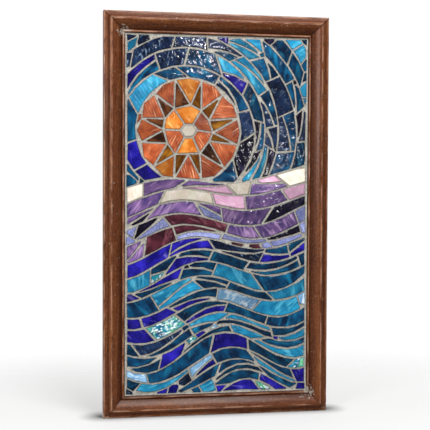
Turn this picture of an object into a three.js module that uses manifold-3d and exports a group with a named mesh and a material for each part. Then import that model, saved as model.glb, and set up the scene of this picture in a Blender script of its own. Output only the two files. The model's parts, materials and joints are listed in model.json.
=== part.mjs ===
// A framed glass mosaic: four mitred lengths of picture moulding, a backing board in their rabbet, a bed of
// grout, and hand-cut pieces of stained glass set in it as a sun over clouds, hills and waves.
// Millimetres, +Z up. The front faces -Y. The origin is on the back of the top rail, where the panel hangs.

import * as THREE from "three";
import { mergeVertices } from "three/addons/utils/BufferGeometryUtils.js";
import Module from "manifold-3d";

// Overall frame
const PANEL_WIDTH = 312;
const PANEL_HEIGHT = 548;
const FRAME_DEPTH = 20;
const RAIL_WIDTH = 29;

// Moulding profile, inward from the outer edge and forward from the back
const SIDE_HEIGHT = 14; // the outer arris stands this far in front of the back
const ARRIS_RADIUS = 1.6;
const BAND_WIDTH = 6.6; // flat band between the arris and the quirk
const BAND_RISE = 1.1;
const QUIRK_STEP = 0.8; // the small step between the band and the rounding
const ROUNDING_WIDTH = 4.2; // from the quirk to the crest
const SLOPE_SWELL = 1.5; // above 1, the slope from the crest to the lip swells out and grows steeper
const LIP_WIDTH = 4.2;
const LIP_HEIGHT = 13.2; // crest of the lip, from the back
const LIP_RISE = 2.4;
const MITRE_GAP = 0.3;
const ARRIS_STEPS = 3; // straight steps in the quarter turn of the arris
const ROUNDING_STEPS = 5;
const SLOPE_STEPS = 10;
const LIP_STEPS = 6;

// Rabbet and backing board
const RABBET_WIDTH = 6;
const RABBET_FLOOR = 7; // front of the rabbet, from the back of the frame
const BOARD_THICKNESS = 5;
const BOARD_CLEARANCE = 0.8; // all round, between the board and the rabbet
const FIT_GAP = 0.3; // between pieces that bear on each other

// Grout and glass
const ADHESIVE_THICKNESS = 0.9; // under the glass
const GLASS_THICKNESS = 3;
const GLASS_PROUD = 0.8; // how far the glass stands out of the grout
const BED_CLEARANCE = 0.3; // between the bed and the frame's sight edge
const EDGE_JOINT = 2.2; // bare grout along the frame
const JOINT_LEAST = 1.3; // grout joint between two pieces of glass
const JOINT_MOST = 3.4;
const SMALLEST_SPAN = 9; // a piece smaller than this square is left out, and grout fills its place
const NARROWEST = 4;
const SHORTEST_SIDE = 4.5; // a side that a cut leaves shorter than this is ground away
const SHARPEST_CORNER = Math.PI / 4.5; // a sharper one is ground off to a flat
const TIP_WIDTH = 1.6;
const TIP_REACH = 0.4; // how much of a side a ground-off point may take
const CHIP_JOINT = 1.6; // grout round a small chip set where the larger pieces leave room
const CHIP_NARROWEST = 3.2;
const CHIP_SMALLEST_SPAN = 4.6; // a chip smaller than this square is left out
const CHIP_LENGTH_LEAST = 13;
const CHIP_LENGTH_MOST = 25;
const CHIP_LEAN = 0.35; // how far the ends of a chip lean each way, in radians
const CHIP_SEARCH_STEP = 2.5; // between the places where room for a chip is looked for

// The picture. Drops are measured from the top of the opening.
const SUN_ASIDE = 87; // the sun's centre, from the left side of the opening
const SUN_DROP = 130;
const SUN_EYE_RADIUS = 11;
const SUN_DISC_RADIUS = 34;
const SUN_RAY_RADIUS = 72;
const SUN_RAY_COUNT = 12;
const SUN_GLOW_ALONE = 6; // how many pieces of glow, from the right over the top, are solids of their own
const SUN_WEDGE_COUNT = 6;
const SUN_UNEVENNESS = 3; // how far a corner of the rays and the glow strays
const SUN_EYE_UNEVENNESS = 1;
const SKY_LANE_WIDTH = 19;
const SKY_MIDDLE = Math.PI / 12; // direction from the sun in which the sky's lanes start
const SKY_CUT_LEAST = 30;
const SKY_CUT_MOST = 66;
const SKY_LANES_ALONE = 3; // how many lanes, from the sun outwards, have solids of their own
const CLOUD_DROP = 196; // top of the clouds, on the centre line
const CREST_SAMPLES = 8; // steps in which the top of the clouds is followed under a piece of the sky
const CLOUD_LANES = 2;
const HILL_LANES = 3;
const LANE_WIDTH = 18;
const WAVE_LENGTH = 205;
const WAVE_HEIGHT = 7; // amplitude of the lanes at the top of the clouds
const WAVE_GROWTH = 0.061; // how much it grows for each millimetre further down
const WAVE_LEAN_HEIGHT = 571; // over this height the crests lean by a whole wave
const WAVE_START = 3.8; // phase at the top of the clouds, in radians
const LANE_SLOPE = 0.09; // the lanes climb to the right
const CUT_SPACING_LEAST = 36;
const CUT_SPACING_MOST = 76;
const CUT_SLANT = 0.46; // how far a cut leans each way, as a share of the least spacing
const CUT_SHIFT = 0.6; // how far the cuts of one lane are shifted each way, as a share of the widest spacing
const SLIVER_SHARE = 0.42; // how many of the cells are split lengthways
const SLIVER_LOW_END = [0.06, 0.4]; // where the split may end, as shares of the lane's width
const SLIVER_HIGH_END = [0.6, 0.94];
const CHORD_MOST = 17; // longest straight side of a curved piece
const LANE_WANDER = 0.2; // how far the edge of a lane strays, as a share of the lane's width
const LANE_WANDER_LENGTH = 2.4; // length over which it strays, also as a share
const SEED = 20;

const SAME_DIRECTION = 1e-3; // two unit steps whose cross product is smaller run the same way
const WELD = 1e-4; // points closer than this are one

const openingWidth = PANEL_WIDTH - 2 * RAIL_WIDTH;
const openingHeight = PANEL_HEIGHT - 2 * RAIL_WIDTH;
const reach = openingWidth / 2;
const sunX = SUN_ASIDE - reach;
const sunHeight = openingHeight - SUN_DROP;
const cloudTop = openingHeight - CLOUD_DROP;
const rabbetBack = RAIL_WIDTH - RABBET_WIDTH;
const hangingDrop = rabbetBack / 2; // from the top of the frame to the origin
const boardFront = RABBET_FLOOR - FIT_GAP;
const bedBack = boardFront + FIT_GAP;
const pocketFloor = bedBack + ADHESIVE_THICKNESS;
const glassBack = pocketFloor + FIT_GAP;
const glassFront = glassBack + GLASS_THICKNESS;
const groutFront = glassFront - GLASS_PROUD;

const finishes = {
  walnut: { color: 0x6b3f26, roughness: 0.45 },
  board: { color: 0x9a7650, roughness: 0.8 },
  grout: { color: 0xa39c8c, roughness: 0.9 },
  teal: { color: 0x0b4a6b, roughness: 0.15 },
  cobalt: { color: 0x17109a, roughness: 0.15 },
  turquoise: { color: 0x1583b0, roughness: 0.15 },
  navy: { color: 0x20385a, roughness: 0.2 },
  sky_blue: { color: 0x86c4e6, roughness: 0.2 },
  crackle: { color: 0x3bd0e8, roughness: 0.1 },
  lavender: { color: 0x8c93c4, roughness: 0.3 },
  purple: { color: 0x7c5f92, roughness: 0.3 },
  plum: { color: 0x1a1730, roughness: 0.2 },
  wine: { color: 0x56242f, roughness: 0.3 },
  pink_pearl: { color: 0xd993bb, roughness: 0.25 },
  cream_pearl: { color: 0xf0e2cf, roughness: 0.25 },
  copper: { color: 0xc4623c, roughness: 0.25 },
  orange: { color: 0xe07f38, roughness: 0.15 },
  amber: { color: 0x8a520c, roughness: 0.15 },
  brown: { color: 0x5c2c16, roughness: 0.2 },
};

const materials = Object.fromEntries(
  Object.entries(finishes).map(([name, look]) => [
    name,
    new THREE.MeshStandardMaterial({ name, metalness: 0, ...look }),
  ]),
);

// A repeatable stream of random numbers, its own for each set of keys, so that each lane and each piece of
// glass is cut the same way each time. It returns a function that draws a number between two limits.
function stream(...keys) {
  const mix = (mixed, key) => (Math.imul(mixed ^ (key + 0x9e3779b9), 0x85ebca6b) + key) | 0;
  let state = keys.reduce(mix, SEED);
  return (low, high) => {
    state = (state + 0x6d2b79f5) | 0;
    let t = Math.imul(state ^ (state >>> 15), 1 | state);
    t = (t + Math.imul(t ^ (t >>> 7), 61 | t)) ^ t;
    return low + ((high - low) * ((t ^ (t >>> 14)) >>> 0)) / 2 ** 32;
  };
}

// Moulding

// Points of half an ellipse on the given base, rising by the given height.
function bulge(from, to, base, rise, steps) {
  const middle = (from + to) / 2;
  const half = (to - from) / 2;
  return Array.from({ length: steps + 1 }, (_, i) => {
    const angle = Math.PI * (1 - i / steps);
    return [middle + half * Math.cos(angle), base + rise * Math.sin(angle)];
  });
}

// The section of the moulding as a shape: x runs inward from the outer edge, y forward from the back.
function mouldingShape() {
  const crest = BAND_WIDTH + ROUNDING_WIDTH;
  const quirkTop = SIDE_HEIGHT + BAND_RISE + QUIRK_STEP;
  const lipFrom = RAIL_WIDTH - LIP_WIDTH;
  const lipBase = LIP_HEIGHT - LIP_RISE;
  const rounding = Array.from({ length: ROUNDING_STEPS }, (_, i) => {
    const angle = ((Math.PI / 2) * i) / ROUNDING_STEPS;
    const rise = (FRAME_DEPTH - quirkTop) * Math.sin(angle);
    return [crest - ROUNDING_WIDTH * Math.cos(angle), quirkTop + rise];
  });
  const slope = Array.from({ length: SLOPE_STEPS }, (_, i) => {
    const along = i / SLOPE_STEPS;
    const fall = (FRAME_DEPTH - lipBase) * along ** SLOPE_SWELL;
    return [crest + (lipFrom - crest) * along, FRAME_DEPTH - fall];
  });
  const arris = Array.from({ length: ARRIS_STEPS + 1 }, (_, i) => {
    const angle = Math.PI - ((Math.PI / 2) * i) / ARRIS_STEPS;
    return [
      ARRIS_RADIUS * (1 + Math.cos(angle)),
      SIDE_HEIGHT - ARRIS_RADIUS * (1 - Math.sin(angle)),
    ];
  });
  const points = [
    [0, 0],
    ...arris,
    [BAND_WIDTH, SIDE_HEIGHT + BAND_RISE],
    ...rounding,
    ...slope,
    ...bulge(lipFrom, RAIL_WIDTH, lipBase, LIP_RISE, LIP_STEPS),
    [RAIL_WIDTH, RABBET_FLOOR],
    [rabbetBack, RABBET_FLOOR],
    [rabbetBack, 0],
  ];
  return new THREE.Shape(points.map(([x, y]) => new THREE.Vector2(x, y)));
}

// One mitred length: the outer edge is on the x axis, the section runs towards -Y and the inside to -Z.
function mitredRail(length) {
  const made = new THREE.ExtrudeGeometry(mouldingShape(), { depth: 1, bevelEnabled: false });
  const place = made.getAttribute("position");
  for (let i = 0; i < place.count; i++) {
    const inward = place.getX(i);
    const forward = place.getY(i);
    const end = place.getZ(i) > 0.5 ? 1 : -1;
    place.setXYZ(i, end * (length / 2 - inward - MITRE_GAP), -forward, -inward);
  }
  return turnedOut(made);
}

// The same geometry with its faces turned round if they point inwards.
function turnedOut(geometry) {
  const place = geometry.getAttribute("position");
  const [a, b, c] = [new THREE.Vector3(), new THREE.Vector3(), new THREE.Vector3()];
  let volume = 0;
  for (let i = 0; i < place.count; i += 3) {
    a.fromBufferAttribute(place, i);
    b.fromBufferAttribute(place, i + 1);
    c.fromBufferAttribute(place, i + 2);
    volume += a.dot(b.cross(c));
  }
  if (volume < 0) {
    for (let i = 0; i < place.count; i += 3) {
      b.fromBufferAttribute(place, i + 1);
      c.fromBufferAttribute(place, i + 2);
      place.setXYZ(i + 1, c.x, c.y, c.z);
      place.setXYZ(i + 2, b.x, b.y, b.z);
    }
  }
  geometry.computeVertexNormals();
  return geometry;
}

function frameRails() {
  const turns = {
    frame_top_rail: { length: PANEL_WIDTH, turn: 0 },
    frame_right_stile: { length: PANEL_HEIGHT, turn: Math.PI / 2 },
    frame_bottom_rail: { length: PANEL_WIDTH, turn: Math.PI },
    frame_left_stile: { length: PANEL_HEIGHT, turn: -Math.PI / 2 },
  };
  const middle = new THREE.Vector3(0, 0, hangingDrop - PANEL_HEIGHT / 2);
  return Object.entries(turns).map(([name, { length, turn }]) => {
    const across = length === PANEL_WIDTH ? PANEL_HEIGHT : PANEL_WIDTH;
    const rail = new THREE.Mesh(mitredRail(length), materials.walnut);
    rail.name = name;
    rail.position.set(0, 0, across / 2).applyAxisAngle(new THREE.Vector3(0, 1, 0), turn).add(middle);
    rail.rotation.y = turn;
    return rail;
  });
}

// Solids

// A flat piece between two planes parallel to the panel. The outline is in opening coordinates.
function slab(outline, back, front) {
  const shape = new THREE.Shape(outline.map(([x, z]) => new THREE.Vector2(x, z)));
  const made = new THREE.ExtrudeGeometry(shape, { depth: front - back, bevelEnabled: false });
  made.rotateX(Math.PI / 2);
  made.translate(0, -back, hangingDrop - PANEL_HEIGHT + RAIL_WIDTH);
  return turnedOut(made);
}

function rectangle(halfWidth, low, high) {
  return [
    [-halfWidth, low],
    [halfWidth, low],
    [halfWidth, high],
    [-halfWidth, high],
  ];
}

const wasm = await Module();
wasm.setup();

function solidOf(geometry) {
  const bare = geometry.clone();
  bare.deleteAttribute("normal");
  bare.deleteAttribute("uv");
  const merged = mergeVertices(bare, WELD);
  return new wasm.Manifold(
    new wasm.Mesh({
      numProp: 3,
      vertProperties: merged.attributes.position.array,
      triVerts: new Uint32Array(merged.index.array),
    }),
  );
}

function geometryOf(solid) {
  const mesh = solid.getMesh();
  const made = new THREE.BufferGeometry();
  made.setAttribute("position", new THREE.BufferAttribute(mesh.vertProperties, 3));
  made.setIndex(new THREE.BufferAttribute(mesh.triVerts, 1));
  made.computeVertexNormals();
  return made;
}

// Outlines

function areaOf(outline) {
  let twice = 0;
  outline.forEach(([x, z], i) => {
    const [nextX, nextZ] = outline[(i + 1) % outline.length];
    twice += x * nextZ - nextX * z;
  });
  return twice / 2;
}

// The part of an outline on the kept side of a line, which runs through a point across the given direction.
function keptSide(outline, through, kept) {
  const depth = ([x, z]) => (x - through[0]) * kept[0] + (z - through[1]) * kept[1];
  const made = [];
  outline.forEach((here, i) => {
    const after = outline[(i + 1) % outline.length];
    const [a, b] = [depth(here), depth(after)];
    if (a >= 0) made.push(here);
    if (a >= 0 !== b >= 0) {
      const share = a / (a - b);
      made.push([here[0] + (after[0] - here[0]) * share, here[1] + (after[1] - here[1]) * share]);
    }
  });
  return made;
}

// The outline without points closer together than the given distance.
function withoutShortSides(outline, least) {
  const kept = [];
  for (const point of outline) {
    const last = kept.at(-1);
    if (!last || Math.hypot(point[0] - last[0], point[1] - last[1]) > least) kept.push(point);
  }
  while (kept.length > 3) {
    const [first, last] = [kept[0], kept.at(-1)];
    if (Math.hypot(first[0] - last[0], first[1] - last[1]) > least) break;
    kept.pop();
  }
  return kept;
}

// Where two lines meet, each given by a point and a direction.
function meeting([p, d], [q, e]) {
  const cross = d[0] * e[1] - d[1] * e[0];
  if (Math.abs(cross) < SAME_DIRECTION) return [(p[0] + d[0] + q[0]) / 2, (p[1] + d[1] + q[1]) / 2];
  const along = ((q[0] - p[0]) * e[1] - (q[1] - p[1]) * e[0]) / cross;
  return [p[0] + d[0] * along, p[1] + d[1] * along];
}

// The outline moved in all round, by an inset that is drawn anew for each corner.
function shrunk(outline, inset) {
  const insets = outline.map(inset);
  const sides = outline.map((here, i) => {
    const after = outline[(i + 1) % outline.length];
    const length = Math.hypot(after[0] - here[0], after[1] - here[1]);
    const normal = [-(after[1] - here[1]) / length, (after[0] - here[0]) / length];
    const [start, end] = [insets[i], insets[(i + 1) % outline.length]];
    const from = [here[0] + normal[0] * start, here[1] + normal[1] * start];
    const to = [after[0] + normal[0] * end, after[1] + normal[1] * end];
    return [from, [to[0] - from[0], to[1] - from[1]]];
  });
  return sides.map((side, i) => meeting(sides[(i + sides.length - 1) % sides.length], side));
}

// True if no side of the moved-in outline runs backwards and no two sides cross.
function stillSound(before, after) {
  const next = (points, i) => points[(i + 1) % points.length];
  const way = (points, i) => [next(points, i)[0] - points[i][0], next(points, i)[1] - points[i][1]];
  const forwards = after.every((_, i) => {
    const [now, then] = [way(after, i), way(before, i)];
    return now[0] * then[0] + now[1] * then[1] > 0;
  });
  const side = (a, b, c) => Math.sign((b[0] - a[0]) * (c[1] - a[1]) - (b[1] - a[1]) * (c[0] - a[0]));
  const crosses = (i, k) => {
    const [a, b, c, d] = [after[i], next(after, i), after[k], next(after, k)];
    return side(a, b, c) !== side(a, b, d) && side(c, d, a) !== side(c, d, b);
  };
  const apart = (i, k) => k > i + 1 && (k + 1) % after.length !== i;
  return forwards && !after.some((_, i) => after.some((__, k) => apart(i, k) && crosses(i, k)));
}

// The outline with its sharp points ground off to a small flat.
function blunted(outline) {
  return outline.flatMap((here, i) => {
    const ends = [outline.at(i - 1), outline[(i + 1) % outline.length]];
    const lengths = ends.map(([x, z]) => Math.hypot(x - here[0], z - here[1]));
    const ways = ends.map(([x, z], k) => [(x - here[0]) / lengths[k], (z - here[1]) / lengths[k]]);
    const cosine = ways[0][0] * ways[1][0] + ways[0][1] * ways[1][1];
    if (cosine < Math.cos(SHARPEST_CORNER)) return [here];
    const back = Math.min(TIP_WIDTH / Math.sqrt(2 - 2 * cosine), TIP_REACH * Math.min(...lengths));
    return ways.map(([x, z]) => [here[0] + x * back, here[1] + z * back]);
  });
}

// Narrowest width of an outline over all directions of its sides.
function widthOf(outline) {
  return Math.min(
    ...outline.map((here, i) => {
      const after = outline[(i + 1) % outline.length];
      const length = Math.hypot(after[0] - here[0], after[1] - here[1]);
      const normal = [-(after[1] - here[1]) / length, (after[0] - here[0]) / length];
      const depths = outline.map(([x, z]) => (x - here[0]) * normal[0] + (z - here[1]) * normal[1]);
      return Math.max(...depths) - Math.min(...depths);
    }),
  );
}

// The picture

// Height on the panel of a point in the flowing lanes, given its place across and its level.
function laneHeight(x, level) {
  const down = cloudTop - level;
  const turns = x / WAVE_LENGTH - down / WAVE_LEAN_HEIGHT;
  const swell = WAVE_HEIGHT + WAVE_GROWTH * down;
  return level + swell * Math.sin(2 * Math.PI * turns + WAVE_START) + LANE_SLOPE * x;
}

const flowing = (along, across) => [along, laneHeight(along, across)];

// The sky's lanes turn about the sun.
function turning(along, across) {
  const angle = along / SUN_RAY_RADIUS;
  return [sunX + across * Math.cos(angle), sunHeight + across * Math.sin(angle)];
}

// Where one lane is cut across, worked out from its middle towards both ends. A cut is slanted: it has one
// place on the lane's lower edge and one on its upper. The two lists run outwards.
function laneCuts(middle, [start, stop], spacing, keys) {
  const slant = spacing[0] * CUT_SLANT;
  const within = (value) => Math.min(stop, Math.max(start, value));
  const shift = spacing[1] * stream(...keys, 0)(-CUT_SHIFT, CUT_SHIFT);
  return [-1, 1].map((way) => {
    const between = stream(...keys, way);
    const cuts = [];
    let at = middle + shift + (way * between(...spacing)) / 2;
    for (; at > start && at < stop; at += way * between(...spacing)) {
      cuts.push([at + between(-slant, slant), at + between(-slant, slant)].map(within));
    }
    cuts.push([within(at), within(at)]);
    return cuts;
  });
}

// Where a cell is cut lengthways, as shares of the lane's width: the cut runs nearly to a point. Most cells
// aren't cut so.
function sliverCuts(between) {
  if (between(0, 1) > SLIVER_SHARE) return [];
  const cut = [between(...SLIVER_LOW_END), between(...SLIVER_HIGH_END)];
  return [between(0, 1) < 0.5 ? cut : cut.reverse()];
}

// Cuts one lane of the picture into cells. The lane runs between two edges, which are functions of the place
// along it. A cell is numbered from the middle of its lane, and some are split lengthways into slivers.
function laneCells({ place, middle, ends }, [lower, upper], spacing, keys) {
  const [back, ahead] = laneCuts(middle, ends, spacing, keys);
  const cuts = [...back.reverse(), ...ahead];
  return cuts.slice(1).flatMap((next, i) => {
    const number = i + 1 - back.length;
    const shares = [0, ...sliverCuts(stream(...keys, number)), 1];
    const corners = { low: cuts[i][0], high: cuts[i][1], nextLow: next[0], nextHigh: next[1] };
    return shares.slice(1).map((share, k) => ({
      number,
      keys: [...keys, number, k],
      suffix: ["", "_right"][number] + (shares.length > 2 ? ["_a", "_b"][k] : ""),
      outline: cellOutline(place, corners, lower, upper, shares[k], share),
    }));
  });
}

// Outline of one cell between two shares of its lane's width; a share is one number, or two for a taper.
function cellOutline(place, { low, high, nextLow, nextHigh }, lower, upper, bottom, top) {
  const side = (share) => {
    const [first, last] = [share].flat().length > 1 ? share : [share, share];
    const from = low + (high - low) * first;
    const to = nextLow + (nextHigh - nextLow) * last;
    const [[x, z], [endX, endZ]] = [place(from, lower(from)), place(to, lower(to))];
    const count = Math.max(1, Math.ceil(Math.hypot(endX - x, endZ - z) / CHORD_MOST));
    return Array.from({ length: count + 1 }, (_, i) => {
      const along = from + ((to - from) * i) / count;
      const across = first + ((last - first) * i) / count;
      return place(along, lower(along) + (upper(along) - lower(along)) * across);
    });
  };
  return [...side(bottom), ...side(top).reverse()];
}

// Lanes stacked from one level, each a step further. The edges between them wander a little, and both
// neighbours share them. The stretch is the length of one unit along a lane at the given level. The cells
// whose numbers are listed become solids of their own, in as many lanes as given.
function lanes({ key, from, step, count, regions, spacing, stretch, aloneCells, aloneLanes, ...lane }) {
  const width = Math.abs(step);
  const edges = Array.from({ length: count + 1 }, (_, i) => {
    const wander = i > 0 ? width * LANE_WANDER : 0;
    const turn = stream(key, i)(0, 2 * Math.PI);
    return (along) => from + step * i + wander * Math.sin(along / (LANE_WANDER_LENGTH * width) + turn);
  });
  return edges.slice(1).flatMap((edge, i) => {
    const scale = stretch(from + step * (i + 0.5));
    const steps = spacing.map((length) => length / scale);
    const { region, first } = regions.findLast((candidate) => candidate.first <= i);
    const name = `${region}_glass_${String(i + 1 - first).padStart(2, "0")}`;
    return laneCells(lane, [edges[i], edge], steps, [key, i]).map(({ suffix, number, ...cell }) => ({
      ...cell,
      region,
      name: name + suffix,
      alone: i < aloneLanes && aloneCells[region].includes(number),
    }));
  });
}

// Points round the sun at even angles, each strayed a little as hand-cut corners are.
function ring(radius, count, turn, stray) {
  return Array.from({ length: count }, (_, i) => {
    const between = stream(count, turn * 2, i);
    const angle = (2 * Math.PI * (i + turn)) / count;
    const strayed = radius + between(-stray, stray);
    const aside = between(-stray, stray) / radius;
    return [sunX + strayed * Math.cos(angle + aside), sunHeight + strayed * Math.sin(angle + aside)];
  });
}

// Wedges of a disc about a small middle piece, then pointed rays, then the wedges of glow between the rays.
function sunPieces() {
  const after = (points, i) => points[(i + 1) % points.length];
  const rim = ring(SUN_DISC_RADIUS, SUN_RAY_COUNT, 0, SUN_UNEVENNESS);
  const tips = ring(SUN_RAY_RADIUS - SUN_UNEVENNESS, SUN_RAY_COUNT, 0.5, SUN_UNEVENNESS);
  const eye = ring(SUN_EYE_RADIUS, SUN_WEDGE_COUNT, 0, SUN_EYE_UNEVENNESS);
  const perWedge = SUN_RAY_COUNT / SUN_WEDGE_COUNT;
  const wedges = eye.map((corner, i) => {
    const outer = Array.from({ length: perWedge + 1 }, (_, k) => rim[(perWedge * i + k) % SUN_RAY_COUNT]);
    return [after(eye, i), corner, ...outer];
  });
  const rays = rim.map((foot, i) => [foot, tips[i], after(rim, i)]);
  const glow = tips.map((tip, i) => {
    const angle = (2 * Math.PI * (i + 1)) / SUN_RAY_COUNT;
    const crown = [sunX + SUN_RAY_RADIUS * Math.cos(angle), sunHeight + SUN_RAY_RADIUS * Math.sin(angle)];
    return [after(rim, i), tip, crown, after(tips, i)];
  });
  const pieces = { sun_eye: [eye], sun_wedge: wedges, sun_ray: rays, sun_glow: glow };
  const alone = { sun_eye: 1, sun_wedge: SUN_WEDGE_COUNT, sun_ray: 0, sun_glow: SUN_GLOW_ALONE };
  return Object.entries(pieces).flatMap(([region, outlines]) =>
    outlines.map((outline, i) => ({
      region,
      name: `${region}_glass_${String(i + 1).padStart(2, "0")}`,
      keys: [Object.keys(palettes).indexOf(region), i],
      alone: i < alone[region],
      outline,
    })),
  );
}

// The outline cut back to the opening, less the bare grout along the frame.
function insideOpening(outline) {
  const side = reach - EDGE_JOINT;
  let kept = keptSide(outline, [-side, 0], [1, 0]);
  kept = keptSide(kept, [side, 0], [-1, 0]);
  kept = keptSide(kept, [0, EDGE_JOINT], [0, 1]);
  return keptSide(kept, [0, openingHeight - EDGE_JOINT], [0, -1]);
}

// The outline cut back to the sky by a straight cut that clears the top of the clouds.
function aboveClouds(outline) {
  const places = outline.map(([x]) => x);
  const [left, right] = [Math.min(...places), Math.max(...places)];
  const fall = (laneHeight(left, cloudTop) - laneHeight(right, cloudTop)) / (right - left);
  const rises = Array.from({ length: CREST_SAMPLES + 1 }, (_, i) => {
    const x = left + ((right - left) * i) / CREST_SAMPLES;
    return laneHeight(x, cloudTop) + fall * (x - left);
  });
  return keptSide(outline, [left, Math.max(...rises)], [fall, 1]);
}

// Turns a cell of the picture into the outline of a piece of glass, or null if too little of it is left.
function cutGlass(cell, between) {
  const outline = withoutShortSides(insideOpening(cell), SHORTEST_SIDE);
  if (outline.length < 3) return null;
  if (areaOf(outline) < 0) outline.reverse();
  const made = shrunk(outline, () => between(JOINT_LEAST, JOINT_MOST) / 2);
  if (!stillSound(outline, made)) return null;
  if (areaOf(made) < SMALLEST_SPAN ** 2 || widthOf(made) < NARROWEST) return null;
  return blunted(withoutShortSides(made, TIP_WIDTH));
}

// Kinds of glass in each region of the picture. A kind that comes up more often is named more often.
const palettes = {
  sun_eye: ["cream_pearl"],
  sun_wedge: ["orange", "copper", "orange"],
  sun_ray: ["amber", "amber", "brown"],
  sun_glow: ["copper", "copper", "orange", "amber"],
  sky: ["teal", "teal", "teal", "navy", "navy", "plum", "cobalt", "turquoise"],
  cloud: ["pink_pearl", "cream_pearl", "pink_pearl", "purple"],
  hill: ["lavender", "purple", "lavender", "purple", "plum", "wine"],
  wave: [
    ...["teal", "teal", "teal", "teal", "navy", "turquoise"],
    ...["turquoise", "cobalt", "cobalt", "sky_blue", "crackle"],
  ],
};

// The sky turns about the sun, down to where the clouds hide it on both sides.
const skyReach = Math.hypot(reach - sunX, openingHeight - sunHeight) - SUN_RAY_RADIUS;
const sky = {
  key: 1,
  place: turning,
  from: SUN_RAY_RADIUS,
  step: SKY_LANE_WIDTH,
  count: Math.ceil(skyReach / SKY_LANE_WIDTH),
  regions: [{ region: "sky", first: 0 }],
  middle: SKY_MIDDLE * SUN_RAY_RADIUS,
  ends: [(-Math.PI / 2) * SUN_RAY_RADIUS, ((3 * Math.PI) / 2) * SUN_RAY_RADIUS],
  spacing: [SKY_CUT_LEAST, SKY_CUT_MOST],
  stretch: (radius) => radius / SUN_RAY_RADIUS,
  aloneCells: { sky: [0, 1] },
  aloneLanes: SKY_LANES_ALONE,
};

// Clouds, hills and waves lie in lanes across the whole opening, down past its lower edge.
const lowestCrest = WAVE_HEIGHT + WAVE_GROWTH * cloudTop;
const ground = {
  key: 2,
  place: flowing,
  from: cloudTop,
  step: -LANE_WIDTH,
  count: Math.ceil((cloudTop + 2 * lowestCrest) / LANE_WIDTH),
  regions: [
    { region: "cloud", first: 0 },
    { region: "hill", first: CLOUD_LANES },
    { region: "wave", first: CLOUD_LANES + HILL_LANES },
  ],
  middle: 0,
  ends: [-reach, reach],
  spacing: [CUT_SPACING_LEAST, CUT_SPACING_MOST],
  stretch: () => 1,
  aloneCells: { cloud: [0, 1], hill: [0], wave: [0] },
  aloneLanes: Infinity,
};

function glassPieces() {
  const high = [...sunPieces(), ...lanes(sky)];
  const cells = [
    ...high.map((cell) => ({ ...cell, outline: aboveClouds(cell.outline) })),
    ...lanes(ground),
  ];
  const pieces = cells.map(({ region, name, alone, keys, outline }) => {
    const between = stream(...keys, SEED);
    const palette = palettes[region];
    const kind = palette[Math.floor(between(0, palette.length))];
    return { region, name, kind, alone, outline: cutGlass(outline, between) };
  });
  return pieces.filter(({ outline }) => outline);
}

// Chips

const distance = ([x, z], [otherX, otherZ]) => Math.hypot(otherX - x, otherZ - z);

// The sides of an outline, each a pair of points.
function sidesOf(outline) {
  return outline.map((here, i) => [here, outline[(i + 1) % outline.length]]);
}

// The point of a side that is nearest to the given one.
function nearestOn([a, b], [x, z]) {
  const [wayX, wayZ] = [b[0] - a[0], b[1] - a[1]];
  const share = ((x - a[0]) * wayX + (z - a[1]) * wayZ) / (wayX ** 2 + wayZ ** 2);
  const held = Math.min(1, Math.max(0, share));
  return [a[0] + wayX * held, a[1] + wayZ * held];
}

// Distance from a point to the nearest of the sides.
function roomAt(point, sides) {
  return sides.reduce((least, side) => Math.min(least, distance(point, nearestOn(side, point))), Infinity);
}

function isInside([x, z], outline) {
  const crossed = sidesOf(outline).filter(([a, b]) => {
    if (a[1] > z === b[1] > z) return false;
    return x < a[0] + ((b[0] - a[0]) * (z - a[1])) / (b[1] - a[1]);
  });
  return crossed.length % 2 === 1;
}

// True if one side of a convex outline already keeps the other piece's side a joint away.
function isClear(outline, otherSide) {
  return sidesOf(outline).some(([a, b]) => {
    const length = distance(a, b);
    const outward = [(b[1] - a[1]) / length, (a[0] - b[0]) / length];
    return otherSide.every(
      ([x, z]) => (x - a[0]) * outward[0] + (z - a[1]) * outward[1] >= CHIP_JOINT,
    );
  });
}

// The chip that fits round a point: a block along the nearest side, cut back from the others, nearest first.
function chipAt(centre, sides, between) {
  const size = between(CHIP_LENGTH_LEAST, CHIP_LENGTH_MOST) / 2;
  const near = sides
    .map((side) => ({ side, foot: nearestOn(side, centre) }))
    .map((row) => ({ ...row, room: distance(row.foot, centre) }))
    .filter(({ room }) => room < CHIP_LENGTH_MOST + CHIP_JOINT)
    .sort((one, other) => one.room - other.room);
  const [a, b] = near[0].side;
  const turn = Math.atan2(b[1] - a[1], b[0] - a[0]);
  const lean = between(-CHIP_LEAN, CHIP_LEAN);
  const along = [size * Math.cos(turn), size * Math.sin(turn)];
  const across = [-size * Math.sin(turn + lean), size * Math.cos(turn + lean)];
  const block = rectangle(1, -1, 1).map(([u, v]) => [
    centre[0] + along[0] * u + across[0] * v,
    centre[1] + along[1] * u + across[1] * v,
  ]);
  return near.reduce((outline, { side, foot, room }) => {
    if (outline.length < 3 || isClear(outline, side)) return outline;
    const away = [(centre[0] - foot[0]) / room, (centre[1] - foot[1]) / room];
    return keptSide(outline, [foot[0] + away[0] * CHIP_JOINT, foot[1] + away[1] * CHIP_JOINT], away);
  }, block);
}

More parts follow.
